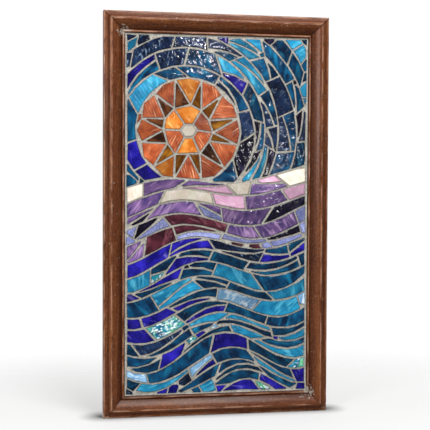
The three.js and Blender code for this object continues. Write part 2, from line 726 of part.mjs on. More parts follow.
// Small chips for the places that the larger pieces leave bare, roomiest place first.
function chips(pieces) {
  const inset = EDGE_JOINT - CHIP_JOINT;
  const border = rectangle(reach - inset, inset, openingHeight - inset);
  const sides = [border, ...pieces.map(({ outline }) => outline)].flatMap(sidesOf);
  const spots = [];
  for (let x = -reach + EDGE_JOINT; x < reach - EDGE_JOINT; x += CHIP_SEARCH_STEP) {
    for (let z = EDGE_JOINT; z < openingHeight - EDGE_JOINT; z += CHIP_SEARCH_STEP) {
      const free = !pieces.some(({ outline }) => isInside([x, z], outline));
      if (free) spots.push({ point: [x, z], room: roomAt([x, z], sides) });
    }
  }
  const made = [];
  const roomiest = () => spots.reduce((best, spot) => (spot.room > best.room ? spot : best));
  const leastRoom = CHIP_JOINT + CHIP_NARROWEST / 2;
  for (let spot = roomiest(); spot.room > leastRoom; spot = roomiest()) {
    const between = stream(made.length, SEED);
    const outline = withoutShortSides(chipAt(spot.point, sides, between), TIP_WIDTH);
    spot.room = 0;
    if (outline.length < 3 || widthOf(outline) < CHIP_NARROWEST) continue;
    if (areaOf(outline) < CHIP_SMALLEST_SPAN ** 2) continue;
    made.push({ outline: blunted(outline) });
    const added = sidesOf(outline);
    sides.push(...added);
    for (const other of spots) {
      const room = isInside(other.point, outline) ? 0 : roomAt(other.point, added);
      other.room = Math.min(other.room, room);
    }
  }
  return made;
}

// The bed, with a pocket for each piece of glass that stands alone and the others raised out of it.
function mosaicBed(alone, fused) {
  const outline = rectangle(reach - BED_CLEARANCE, BED_CLEARANCE, openingHeight - BED_CLEARANCE);
  let bed = solidOf(slab(outline, bedBack, groutFront));
  for (const piece of alone) {
    const pocket = shrunk(piece.outline, () => -FIT_GAP);
    bed = bed.subtract(solidOf(slab(pocket, pocketFloor, FRAME_DEPTH)));
  }
  for (const piece of fused) bed = bed.add(solidOf(slab(piece.outline, pocketFloor, glassFront)));
  const mesh = new THREE.Mesh(geometryOf(bed), materials.grout);
  mesh.name = "mosaic_bed";
  return mesh;
}

function glassMesh({ name, kind, outline }) {
  const mesh = new THREE.Mesh(slab(outline, glassBack, glassFront), materials[kind]);
  mesh.name = name;
  return mesh;
}

function backingBoard() {
  const inRabbet = RABBET_WIDTH - BOARD_CLEARANCE;
  const outline = rectangle(reach + inRabbet, -inRabbet, openingHeight + inRabbet);
  const mesh = new THREE.Mesh(slab(outline, boardFront - BOARD_THICKNESS, boardFront), materials.board);
  mesh.name = "backing_board";
  return mesh;
}

const glass = glassPieces();
const alone = glass.filter((piece) => piece.alone);
const fused = [...glass.filter((piece) => !piece.alone), ...chips(glass)];
const part = new THREE.Group();
part.add(...frameRails(), backingBoard(), mosaicBed(alone, fused), ...alone.map(glassMesh));

export default part;
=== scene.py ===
"""A framed glass mosaic: a rayed sun over clouds, hills and waves, grouted into a stained wooden moulding.

Lengths are in metres. The panel's front faces -Y, +Z is up, and the origin is on the back of the top rail.
"""

from __future__ import annotations

import json
import logging
import math
import random
from dataclasses import dataclass, field, replace
from enum import Enum
from typing import Callable, Iterable, Mapping, Sequence

import bmesh
import bpy
from bmesh.types import BMEdge, BMesh, BMFace, BMVert
from mathutils import Matrix, Vector, noise
from mathutils.kdtree import KDTree

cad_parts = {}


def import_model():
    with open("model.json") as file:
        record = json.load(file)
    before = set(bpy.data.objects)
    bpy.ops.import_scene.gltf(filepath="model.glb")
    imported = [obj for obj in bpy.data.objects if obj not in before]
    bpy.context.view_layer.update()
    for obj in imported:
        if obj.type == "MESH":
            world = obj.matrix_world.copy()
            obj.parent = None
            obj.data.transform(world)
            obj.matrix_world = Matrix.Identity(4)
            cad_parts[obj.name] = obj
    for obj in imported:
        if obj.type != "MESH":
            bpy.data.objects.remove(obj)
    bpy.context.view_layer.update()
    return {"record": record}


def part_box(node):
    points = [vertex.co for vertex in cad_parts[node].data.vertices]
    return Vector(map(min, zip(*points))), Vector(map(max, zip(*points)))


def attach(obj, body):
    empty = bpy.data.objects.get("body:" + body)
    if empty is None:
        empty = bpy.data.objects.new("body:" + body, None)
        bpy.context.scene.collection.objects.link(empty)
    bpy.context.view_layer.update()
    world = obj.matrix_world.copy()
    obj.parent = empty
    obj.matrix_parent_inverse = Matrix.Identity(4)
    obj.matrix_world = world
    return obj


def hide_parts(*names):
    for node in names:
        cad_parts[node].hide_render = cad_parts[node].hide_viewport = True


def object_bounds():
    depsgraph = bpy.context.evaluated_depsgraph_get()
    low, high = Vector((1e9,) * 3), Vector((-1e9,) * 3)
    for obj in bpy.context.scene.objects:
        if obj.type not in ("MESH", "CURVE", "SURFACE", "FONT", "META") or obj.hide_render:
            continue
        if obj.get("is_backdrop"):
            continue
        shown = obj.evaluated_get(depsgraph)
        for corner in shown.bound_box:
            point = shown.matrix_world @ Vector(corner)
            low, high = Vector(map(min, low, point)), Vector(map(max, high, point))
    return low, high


MM = 0.001
WELD = 1e-6  # points closer than this are one
NOISE_SEED = 20  # noise vectors differ from run to run without one
GLASS_PROUD = 0.8 * MM  # how far the glass stands out of the grout
BODY = "root"
Colour = tuple[float, float, float]
Point = tuple[float, float, float]

log = logging.getLogger("mosaic")


def smooth(share: float) -> float:
    """Returns a share held between 0 and 1 and eased at both ends."""
    held = min(1.0, max(0.0, share))
    return held * held * (3 - 2 * held)


def _operator(operation: str, swapped: bool = False) -> Callable[[Channel, Operand], Channel]:
    """Returns a method that puts a channel and an operand through a Math node, in this order or swapped."""
    order = -1 if swapped else 1
    return lambda channel, other: channel.graph.maths(operation, *(channel, other)[::order])


class Channel:
    """A number, colour or vector on its way through a material's nodes.

    Args:
        graph: the graph that the socket belongs to.
        socket: the output socket that carries the value.
    """

    __add__ = _operator("ADD")
    __sub__ = _operator("SUBTRACT")
    __rsub__ = _operator("SUBTRACT", swapped=True)
    __mul__ = _operator("MULTIPLY")

    def __init__(self, graph: Graph, socket: bpy.types.NodeSocket) -> None:
        """Wraps the socket."""
        self.graph = graph
        self.socket = socket

    def __abs__(self) -> Channel:
        """Returns the size of the value."""
        return self.graph.maths("ABSOLUTE", self)


Operand = Channel | float
Paint = Channel | Colour


class Graph:
    """The nodes of a material, or of the surroundings, built round one shader.

    Args:
        owner: the material or the world.
        shader: the name of its shader.
    """

    def __init__(self, owner: bpy.types.ID, shader: str = "Principled BSDF") -> None:
        """Turns the nodes on and keeps the shader."""
        owner.use_nodes = True
        self.owner = owner
        self.tree = owner.node_tree
        self.shader = self.tree.nodes[shader]

    def node(
        self, kind: str, inputs: Mapping[str | int, object], output: str | int = 0, **settings: object
    ) -> Channel:
        """Adds a node.

        Args:
            kind: the end of its type, after ShaderNode.
            inputs: values or channels of its sockets, by name or number.
            output: which output to give back.
            settings: its properties, which are set first.

        Returns:
            The channel of that output.
        """
        made = self.tree.nodes.new("ShaderNode" + kind)
        for name, value in settings.items():
            setattr(made, name, value)
        for key, value in inputs.items():
            self._feed(made.inputs[key], value)
        return Channel(self, made.outputs[output])

    def _feed(self, socket: bpy.types.NodeSocket, value: object) -> None:
        """Links a channel to a socket, or sets the socket's value, a colour with full alpha."""
        if isinstance(value, Channel):
            self.tree.links.new(value.socket, socket)
        else:
            socket.default_value = (*value, 1.0) if socket.type == "RGBA" else value

    def maths(self, operation: str, *values: Operand, clamp: bool = False) -> Channel:
        """Returns the result of a Math node on the values."""
        return self.node("Math", dict(enumerate(values)), operation=operation, use_clamp=clamp)

    def step(self, value: Channel, low: float, high: float) -> Channel:
        """Returns 0 at low, 1 at high, whichever of them is more, and an even slope between."""
        return self.maths("MULTIPLY", value - low, 1.0 / (high - low), clamp=True)

    def attribute(self, name: str, output: str = "Fac") -> Channel:
        """Returns one of the mesh's own attributes, as a number, or as a Vector if asked."""
        return self.node("Attribute", {}, output, attribute_name=name)

    def place(self, kind: str = "Object") -> Channel:
        """Returns Object coordinates, or those of another kind."""
        return self.node("TexCoord", {}, kind)

    def stretched(self, vector: Channel, scale: Point) -> Channel:
        """Returns the vector with each part multiplied by its own factor."""
        return self.node("VectorMath", {0: vector, 1: scale}, operation="MULTIPLY")

    def part(self, vector: Channel, axis: str) -> Channel:
        """Returns one part of a vector: X, Y or Z."""
        return self.node("SeparateXYZ", {0: vector}, axis)

    def noise(
        self, vector: Channel, size: float, detail: float = 2.0, rough: float = 0.5, bend: float = 0.0
    ) -> Channel:
        """Returns a noise, about 0.5 in the middle, whose largest features have the given size."""
        inputs = {"Vector": vector, "Scale": 1.0 / size, "Detail": detail, "Roughness": rough}
        return self.node("TexNoise", {**inputs, "Distortion": bend})

    def mix(self, factor: Operand, first: Paint, second: Paint) -> Channel:
        """Returns the first colour turned into the second by the factor."""
        return self.node("Mix", {0: factor, 6: first, 7: second}, 2, data_type="RGBA")

    def bump(self, height: Channel, distance: float, strength: float = 1.0) -> Channel:
        """Returns a normal bent by a height between 0 and 1 that stands for the given distance."""
        return self.node("Bump", {"Height": height, "Distance": distance, "Strength": strength})

    def shade(self, **sockets: object) -> bpy.types.ID:
        """Feeds the shader's sockets, with _ for a space in their names, and returns the owner."""
        for name, value in sockets.items():
            self._feed(self.shader.inputs[name.replace("_", " ")], value)
        return self.owner


@dataclass(frozen=True)
class Patches:
    """Soft patches that a noise makes in a finish.

    Args:
        size, detail, rough, bend: those of the noise.
        low, high: the noise where a patch starts, and where it is full.
        base, strength: how strong the finish is between patches, and how much a full patch adds.
        stretch: what each part of the place is multiplied by.
    """

    size: float
    low: float = 0.0
    high: float = 1.0
    strength: float = 1.0
    base: float = 0.0
    detail: float = 2.0
    rough: float = 0.5
    bend: float = 0.0
    stretch: Point = (1.0, 1.0, 1.0)

    def noise(self, graph: Graph, place: Channel) -> Channel:
        """Returns the noise over a place."""
        drawn = graph.stretched(place, self.stretch)
        return graph.noise(drawn, self.size, self.detail, self.rough, self.bend)

    def mask(self, graph: Graph, place: Channel) -> Channel:
        """Returns how strong the patches are over a place."""
        return graph.step(self.noise(graph, place), self.low, self.high) * self.strength + self.base

    def paint(self, graph: Graph, place: Channel, under: Paint, over: Paint) -> Channel:
        """Returns a colour with patches of another over it."""
        return graph.mix(self.mask(graph, place), under, over)


# How colour runs through a sheet of glass
Pattern = Enum("Pattern", "CLEAR WISPY STREAKY PEARL GRANULAR CRACKLE RIPPLE")
# How its face rises and falls
Relief = Enum("Relief", "WAVY HAMMERED RIPPLED GRAINY CRINKLED")

# The patterns of one noise: its detail, roughness and bend, and how softly the pale colour starts
VEINS = {
    Pattern.CLEAR: (1.0, 0.5, 0.0, 0.35),
    Pattern.WISPY: (4.0, 0.6, 1.6, 0.16),
    Pattern.STREAKY: (3.0, 0.55, 0.6, 0.2),
    Pattern.PEARL: (3.0, 0.5, 2.4, 0.3),
}


@dataclass(frozen=True)
class GlassFinish:
    """One kind of stained glass.

    Args:
        slot: the record's material slot.
        deep, body, pale: its colours where it is darkest, as a rule, and in wisps, flecks or ridges.
        pattern: how its colours are spread.
        size, stretch: the width of the pattern's features, and how many times longer they are.
        spread: how much of the sheet the pale colour takes, from 0 to 1.
        roughness: of its surface.
        relief, height, ripple: the kind of its surface, and the height and width of its waves.
        pitch: how far apart the surface's vertices are.
        flash, shimmer: colour that shimmers over parts of it, if any, and where.
        clouds: where the deep colour turns into the usual one.
        hues, hue_share, sheen: two hues of a pearly sheet, how much they show, and where the second does.
        tones: the brightness of the darkest piece, and how much brighter the brightest is.
        rim: how strong the painted shade along the edges is, and the share of the deep colour left there.
        dust, haze: colour of the dust and dried grout left on the face, and where they lie.
    """

    slot: str
    deep: Colour
    body: Colour
    pale: Colour
    pattern: Pattern = Pattern.CLEAR
    size: float = 9 * MM
    stretch: float = 3.0
    spread: float = 0.5
    roughness: float = 0.08
    relief: Relief = Relief.WAVY
    height: float = 0.2 * MM
    ripple: float = 7 * MM
    pitch: float = 1.6 * MM
    flash: Colour | None = None
    shimmer: Patches = Patches(9 * MM, 0.48, 0.66, 0.65, bend=1.0)
    clouds: Patches = Patches(16 * MM, 0.36, 0.68)
    hues: tuple[Colour, Colour] = ((0.62, 0.86, 0.72), (0.95, 0.62, 0.8))
    hue_share: float = 0.22
    sheen: Patches = Patches(5 * MM, 0.4, 0.6, detail=1.0, bend=3.0)
    tones: tuple[float, float] = (0.6, 0.8)
    rim: tuple[float, float] = (0.8, 0.28)
    dust: Colour = (0.42, 0.4, 0.36)
    haze: Patches = Patches(2.5 * MM, 0.64, 0.76, 0.12, detail=3.0)

    def _pattern(self, graph: Graph, cut: Channel) -> Channel:
        """Returns how far the body colour has turned into the pale one, from 0 to 1."""
        along = graph.stretched(cut, (1 / self.stretch, 1.0, 1.0))
        start = 0.72 - 0.4 * self.spread  # the noise where the pale colour starts
        if self.pattern in VEINS:
            detail, rough, bend, soft = VEINS[self.pattern]
            return graph.step(graph.noise(along, self.size, detail, rough, bend), start, start + soft)
        if self.pattern is Pattern.GRANULAR:
            grains = graph.noise(cut, self.size) * 0.7 + graph.noise(along, self.size * 7) * 0.3
            return graph.step(grains, start, start + 0.2)
        if self.pattern is Pattern.CRACKLE:
            cells = graph.node("TexVoronoi", {"Vector": along, "Scale": 1.0 / self.size}, "Color")
            return graph.step(graph.part(cells, "X"), 1.0 - self.spread, 1.05 - self.spread * 0.5)
        sway = graph.noise(cut, self.size * 3) * 5.0
        waves = graph.maths("SINE", graph.part(cut, "Y") * (2 * math.pi / self.size) + sway)
        return graph.step(waves, 0.1, 1.0) * graph.step(graph.noise(along, self.size * 2), start, 0.75)

    def material(self) -> bpy.types.Material:
        """Returns the material of this kind of glass."""
        graph = Graph(bpy.data.materials.new(self.slot))
        cut = graph.attribute("cut", "Vector")
        colour = self.clouds.paint(graph, cut, self.deep, self.body)
        colour = graph.mix(self._pattern(graph, cut), colour, self.pale)
        if self.pattern is Pattern.PEARL:
            colour = graph.mix(self.hue_share, colour, self.sheen.paint(graph, cut, *self.hues))
        if self.flash is not None:
            colour = self.shimmer.paint(graph, cut, colour, self.flash)
        darkest, lift = self.tones
        tone = graph.attribute("tone") * lift + darkest
        colour = graph.node("VectorMath", {0: colour, "Scale": tone}, operation="SCALE")
        # painted shade: the colour darkens towards each piece's edges
        strength, left = self.rim
        dark = tuple(left * part for part in self.deep)
        colour = graph.mix(graph.attribute("rim") * strength, colour, dark)
        haze = self.haze.mask(graph, graph.place())
        return graph.shade(
            Base_Color=graph.mix(haze, colour, self.dust),
            Roughness=haze * 1.2 + self.roughness,
            IOR=1.4,
            Coat_Weight=0.1,
            Coat_Roughness=0.03,
            Normal=graph.bump(graph.noise(cut, self.ripple * 0.8), self.height * 1.5),
        )

    def rise(self, along: float, across: float, seed: float) -> float:
        """Returns how far the glass stands up at a point of the sheet.

        Args:
            along: place along the sheet's grain.
            across: place across it.
            seed: a number of the piece's own.

        Returns:
            The rise, between about -height and height.
        """
        point = Vector((along / self.ripple, across / self.ripple, seed))
        if self.relief is Relief.WAVY:
            return self.height * noise.noise(point)
        if self.relief is Relief.HAMMERED:
            return self.height * (noise.voronoi(point * 1.6)[0][0] * 1.6 - 0.7)
        if self.relief is Relief.RIPPLED:
            return self.height * math.sin(2 * math.pi * point.y + 1.8 * noise.noise(point * 0.7))
        if self.relief is Relief.GRAINY:
            return self.height * (noise.noise(point * 3.1) + 0.4 * noise.noise(point))
        return self.height * (1.4 - 2.8 * abs(noise.noise(point * 1.7)))


# Kinds of glass, each with its deep, usual and pale colours
FINISHES = {
    finish.slot: finish
    for finish in (
        GlassFinish("teal_glass", (0.001, 0.012, 0.04), (0.002, 0.066, 0.16), (0.01, 0.21, 0.39)),
        GlassFinish(
            "navy_glass", (0.002, 0.006, 0.024), (0.01, 0.028, 0.085), (0.24, 0.36, 0.52),
            Pattern.WISPY, size=6 * MM, spread=0.35,
        ),
        GlassFinish(
            "cobalt_glass", (0.003, 0.002, 0.13), (0.024, 0.016, 0.42), (0.26, 0.23, 0.76),
            Pattern.STREAKY, size=10 * MM, spread=0.25,
        ),
        GlassFinish(
            "turquoise_glass", (0.006, 0.15, 0.3), (0.02, 0.3, 0.52), (0.12, 0.56, 0.76),
            Pattern.STREAKY, relief=Relief.RIPPLED, ripple=4.5 * MM, pitch=1.2 * MM,
        ),
        GlassFinish(
            "sky_blue_glass", (0.12, 0.3, 0.54), (0.27, 0.52, 0.76), (0.76, 0.88, 0.96),
            Pattern.WISPY, size=7 * MM, spread=0.6,
        ),
        GlassFinish(
            "crackle_glass", (0.004, 0.06, 0.16), (0.02, 0.42, 0.62), (0.86, 0.98, 1.0),
            Pattern.CRACKLE, size=2.2 * MM, stretch=1.6, spread=0.45, relief=Relief.CRINKLED,
            height=0.22 * MM, ripple=4 * MM, pitch=1.0 * MM, flash=(0.24, 0.78, 0.3),
        ),
        GlassFinish(
            "lavender_glass", (0.15, 0.17, 0.42), (0.3, 0.34, 0.64), (0.66, 0.7, 0.9),
            Pattern.GRANULAR, size=1.3 * MM, roughness=0.22, relief=Relief.GRAINY, height=0.1 * MM,
            ripple=5 * MM, pitch=1.2 * MM,
        ),
        GlassFinish(
            "purple_glass", (0.06, 0.036, 0.15), (0.24, 0.13, 0.33), (0.52, 0.33, 0.58),
            Pattern.STREAKY, size=6 * MM, stretch=5.0,
        ),
        GlassFinish("plum_glass", (0.002, 0.001, 0.006), (0.008, 0.005, 0.022), (0.05, 0.04, 0.11)),
        GlassFinish(
            "wine_glass", (0.03, 0.006, 0.012), (0.095, 0.018, 0.032), (0.26, 0.08, 0.11),
            Pattern.STREAKY, relief=Relief.HAMMERED, ripple=5 * MM, pitch=1.2 * MM,
        ),
        GlassFinish(
            "pink_pearl_glass", (0.56, 0.2, 0.4), (0.76, 0.34, 0.56), (0.92, 0.68, 0.8),
            Pattern.PEARL, size=8 * MM, roughness=0.2,
        ),
        GlassFinish(
            "cream_pearl_glass", (0.7, 0.58, 0.42), (0.86, 0.78, 0.62), (0.96, 0.93, 0.86),
            Pattern.PEARL, size=8 * MM, roughness=0.2,
        ),
        GlassFinish(
            "copper_glass", (0.28, 0.045, 0.014), (0.64, 0.16, 0.056), (0.98, 0.54, 0.3),
            Pattern.RIPPLE, size=3.6 * MM, relief=Relief.RIPPLED, ripple=3.6 * MM, pitch=1.0 * MM,
        ),
        GlassFinish(
            "orange_glass", (0.54, 0.13, 0.012), (0.8, 0.3, 0.05), (0.96, 0.6, 0.24),
            Pattern.WISPY, spread=0.4,
        ),
        GlassFinish("amber_glass", (0.1, 0.028, 0.001), (0.28, 0.09, 0.004), (0.54, 0.23, 0.02)),
        GlassFinish("brown_glass", (0.022, 0.006, 0.002), (0.085, 0.022, 0.005), (0.22, 0.07, 0.02)),
    )
}


@dataclass(frozen=True)
class StainedWood:
    """Dark-stained moulding, varnished, with the stain lying thick in its low places, where shade is painted
    as well.

    Args:
        slot: the record's material slot.
        dark, mid, amber: colours of the stain in pores and in low places, where it is also painted shade, as
            a rule, and in lighter streaks.
        worn, smear, bare: colours of rubbed arrises with a painted highlight, of grout left on the wood, and
            of chips in the finish.
        fibre, streaks, bands, flecks, pores: the grain, in turn usual, lighter, darker, lighter and darker.
        stain_and_shade_hollows: distances in from the outer edge where the stain lies thick and shade is
            painted, each with its strength.
        worn_and_highlit_crests: distances in from the outer edge where the wood is rubbed and a highlight is
            painted.
        rubbed: where along a crest the wear and painted highlight show.
        stain_and_shade_reach, wear_and_highlight_reach: how far from a hollow or a crest its colour has gone.
        mitre_line: how wide the dark line along a mitre is, and how strong.
        smears, smear_spots, smear_reach: corners where grout was smeared, its specks, and how far they go.
        chips, chip_spots, chip_reach: the same for corners where the finish is chipped.
    """

    slot: str = "stained_wood"
    dark: Colour = (0.034, 0.009, 0.004)
    mid: Colour = (0.155, 0.046, 0.018)
    amber: Colour = (0.32, 0.11, 0.034)
    worn_and_highlight: Colour = (0.68, 0.4, 0.27)
    smear: Colour = (0.46, 0.43, 0.37)
    bare: Colour = (0.56, 0.4, 0.27)
    fibre: Patches = Patches(1.1 * MM, 0.25, 0.6, 0.75, 0.25, 5.0, 0.6, 0.4, (0.035, 1.0, 1.0))
    streaks: Patches = Patches(6 * MM, 0.46, 0.7, 0.6, 0.0, 3.0, 0.6, 0.8, (0.06, 1.0, 1.0))
    bands: Patches = Patches(9 * MM, 0.5, 0.75, 0.3, stretch=(0.02, 1.0, 1.0))
    flecks: Patches = Patches(1.3 * MM, 0.44, 0.32, 0.45, rough=0.6, stretch=(0.35, 1.0, 1.0))
    pores: Patches = Patches(1.3 * MM, 0.54, 0.66, 0.7, rough=0.6, stretch=(0.35, 1.0, 1.0))
    stain_and_shade_hollows: tuple[tuple[float, float], ...] = (
        (6.6 * MM, 0.25), (19.0 * MM, 0.2), (20.8 * MM, 0.4), (22.2 * MM, 0.45), (23.4 * MM, 0.5),
        (24.8 * MM, 0.7), (29 * MM, 0.9),
    )
    worn_and_highlit_crests: tuple[float, ...] = (1.2 * MM, 10.8 * MM, 26.9 * MM)
    rubbed: Patches = Patches(4 * MM, 0.4, 0.62, 0.55, detail=4.0, stretch=(0.2, 1.0, 1.0))
    stain_and_shade_reach: float = 1.6 * MM
    wear_and_highlight_reach: float = 1.5 * MM
    mitre_line: tuple[float, float] = (1.1 * MM, 0.8)
    smears: tuple[Point, ...] = ()
    smear_spots: Patches = Patches(3.5 * MM, 0.66, 0.76, 0.65, detail=3.0, rough=0.55)
    smear_reach: float = 15 * MM
    chips: tuple[Point, ...] = ()
    chip_spots: Patches = Patches(1.8 * MM, 0.74, 0.84, 0.8, detail=3.0, rough=0.55)
    chip_reach: float = 18 * MM

    def _spots(self, graph: Graph, corners: Iterable[Point], spots: Patches, reach: float) -> Channel:
        """Returns a mask of spots that crowd towards some corners."""
        place = graph.place()
        speck = spots.noise(graph, place)
        mask: Operand = 0.0
        for corner in corners:
            away = graph.node("VectorMath", {0: place, 1: corner}, "Value", operation="DISTANCE")
            close = graph.step(away, reach, 0.1 * reach)
            mask = graph.maths("MAXIMUM", mask, graph.step(speck + close * 0.3, spots.low, spots.high))
        return mask

    def material(self) -> bpy.types.Material:
        """Returns the wood's material, whose grain follows the timber attribute."""
        graph = Graph(bpy.data.materials.new(self.slot))
        timber = graph.attribute("timber", "Vector")
        inward = graph.part(timber, "Y")
        colour = self.fibre.paint(graph, timber, self.dark, self.mid)
        for number, patches in enumerate((self.streaks, self.bands, self.flecks, self.pores)):
            colour = patches.paint(graph, timber, colour, self.dark if number % 2 else self.amber)
        # stain and painted shade darken the low places, most at the foot of the slope
        for hollow, strength in self.stain_and_shade_hollows:
            near = graph.step(abs(inward - hollow), self.stain_and_shade_reach, 0.0)
            colour = graph.mix(near * strength, colour, self.dark)
        # wear and a painted highlight lighten the crests, in patches along them
        rubbed = self.rubbed.mask(graph, timber)
        for crest in self.worn_and_highlit_crests:
            near = graph.step(abs(inward - crest), self.wear_and_highlight_reach, 0.0)
            colour = graph.mix(near * rubbed, colour, self.worn_and_highlight)
        width, strength = self.mitre_line
        mitre = graph.step(graph.attribute("mitre"), width, 0.1 * MM)
        colour = graph.mix(mitre * strength, colour, self.dark)
        smear = self._spots(graph, self.smears, self.smear_spots, self.smear_reach)
        colour = graph.mix(smear * self.smear_spots.strength, colour, self.smear)
        bare = self._spots(graph, self.chips, self.chip_spots, self.chip_reach)
        fibre = self.fibre.noise(graph, timber)
        return graph.shade(
            Base_Color=graph.mix(bare * self.chip_spots.strength, colour, self.bare),
            Roughness=fibre * 0.25 + 0.2 + smear * 0.3,
            Specular_IOR_Level=0.14,
            Coat_Weight=0.05,
            Coat_Roughness=0.12,
            Normal=graph.bump(fibre, 0.12 * MM, 0.7),
        )


@dataclass(frozen=True)
class PlainFinish:
    """A matt finish of one colour with others in patches over it.

    Args:
        slot: the record's material slot.
        ground: the colour under all patches.
        layers: patches, from the lowest up, each with its colour.
        soil, dirt: how strong the colour of soiling and painted shade is where the grime attribute is full,
            if it has one.
        rough: the roughness, and how much the relief adds to it.
        relief, height: the noise that raises it, and how far.
    """

    slot: str
    ground: Colour
    layers: tuple[tuple[Patches, Colour], ...]
    rough: tuple[float, float]
    relief: Patches
    height: float
    soiling_and_shade_patches: Patches | None = None
    soiling_and_shade_colour: Colour = (0.07, 0.062, 0.054)

    def material(self) -> bpy.types.Material:
        """Returns the material."""
        graph = Graph(bpy.data.materials.new(self.slot))
        place = graph.place()
        colour: Paint = self.ground
        for patches, over in self.layers:
            colour = patches.paint(graph, place, colour, over)
        if self.soiling_and_shade_patches is not None:
            # soiling and painted shade darken it where the grime attribute says
            colour = graph.mix(graph.attribute("grime") * self.soiling_and_shade_patches.mask(graph, place), colour, self.soiling_and_shade_colour)
        relief = self.relief.noise(graph, place)
        least, more = self.rough
        return graph.shade(
            Base_Color=colour,
            Roughness=relief * more + least,
            Normal=graph.bump(relief, self.height),
        )


SAND = Patches(1.9 * MM, 0.52, 0.64, 0.8, detail=4.0, rough=0.8)
GROUT = PlainFinish(
    "grout",
    (0.2, 0.185, 0.155),
    (
        (Patches(14 * MM, 0.35, 0.6, 0.6, 0.4, detail=4.0, rough=0.6), (0.5, 0.475, 0.415)),
        (SAND, (0.7, 0.68, 0.62)),
        (replace(SAND, low=0.48, high=0.38, strength=0.85), (0.2, 0.185, 0.155)),
    ),
    rough=(0.92, 0.0),
    relief=SAND,
    height=0.25 * MM,
    # soiling and painted shade close to the glass, in patches
    soiling_and_shade_patches=Patches(14 * MM, 0.3, 0.7, 0.45, 0.2, detail=4.0, rough=0.6),
)
FIBRE = Patches(1.4 * MM, 0.35, 0.65, 1.0, 0.0, 4.0, 0.65, 0.5, (1.0, 1.0, 0.12))
FIGURE = Patches(22 * MM, 0.45, 0.7, 0.55, 0.0, 3.0, 0.5, 1.4, (1.0, 1.0, 0.05))
BOARD = PlainFinish(
    "board",
    (0.17, 0.09, 0.045),
    ((FIBRE, (0.3, 0.18, 0.095)), (FIGURE, (0.43, 0.29, 0.17))),
    rough=(0.6, 0.2),
    relief=FIBRE,
    height=0.1 * MM,
)


def baked(name: str, mesh: BMesh) -> bpy.types.Mesh:
    """Returns the finished data of a mesh, which is freed."""
    data = bpy.data.meshes.new(name)
    mesh.to_mesh(data)
    mesh.free()
    return data


def put(name: str, data: bpy.types.ID) -> bpy.types.Object:
    """Returns a new object, put into the scene."""
    made = bpy.data.objects.new(name, data)
    bpy.context.scene.collection.objects.link(made)
    return made


def ease(mesh: BMesh, edges: Iterable[BMEdge], width: float) -> None:
    """Rounds some edges of a mesh."""
    sizes = {"offset": width, "segments": 2, "profile": 0.5}
    bmesh.ops.bevel(mesh, geom=list(edges), affect="EDGES", material=-1, clamp_overlap=True, **sizes)


def add_piece(
    name: str, mesh: BMesh, material: bpy.types.Material, nodes: Iterable[str], sharp: float = 38
) -> None:
    """Turns a mesh into a piece of the panel.

    Args:
        name: the piece's name.
        mesh: its mesh, which is freed.
        material: its material.
        nodes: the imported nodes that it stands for.
        sharp: the angle over which an edge stays crisp, in degrees.
    """
    for face in mesh.faces:
        face.smooth = True
    for edge in mesh.edges:
        edge.smooth = len(edge.link_faces) == 2 and edge.calc_face_angle(0.0) < math.radians(sharp)
    data = baked(name, mesh)
    data.materials.append(material)
    piece = put(name, data)
    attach(piece, BODY)
    nodes = sorted(nodes)
    if nodes:
        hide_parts(*nodes)
    log.info("%s: %d faces, for %d nodes", name, len(data.polygons), len(nodes))


@dataclass
class Panel:
    """Sizes that the whole panel shares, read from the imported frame.

    Args:
        left, right, bottom, top: the outer sides.
        rail: how wide the moulding is.
        glass_front, grout_front: how far the glass and the grout stand in front of the origin.
    """

    left: float
    right: float
    bottom: float
    top: float
    rail: float
    glass_front: float
    grout_front: float

    @classmethod
    def packed(cls) -> Panel:
        """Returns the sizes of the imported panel."""
        low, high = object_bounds()
        rail_low, rail_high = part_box("frame_top_rail")
        bed_low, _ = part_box("mosaic_bed")
        return cls(
            left=low.x,
            right=high.x,
            bottom=low.z,
            top=high.z,
            rail=rail_high.z - rail_low.z,
            glass_front=-bed_low.y,
            grout_front=-bed_low.y - GLASS_PROUD,
        )

    @property
    def centre(self) -> Vector:
        """Returns the middle of the panel, level with the origin."""
        return Vector(((self.left + self.right) / 2, 0.0, (self.bottom + self.top) / 2))

    @property
    def width(self) -> float:
        """Returns the outer width."""
        return self.right - self.left

    @property
    def height(self) -> float:
        """Returns the outer height."""
        return self.top - self.bottom


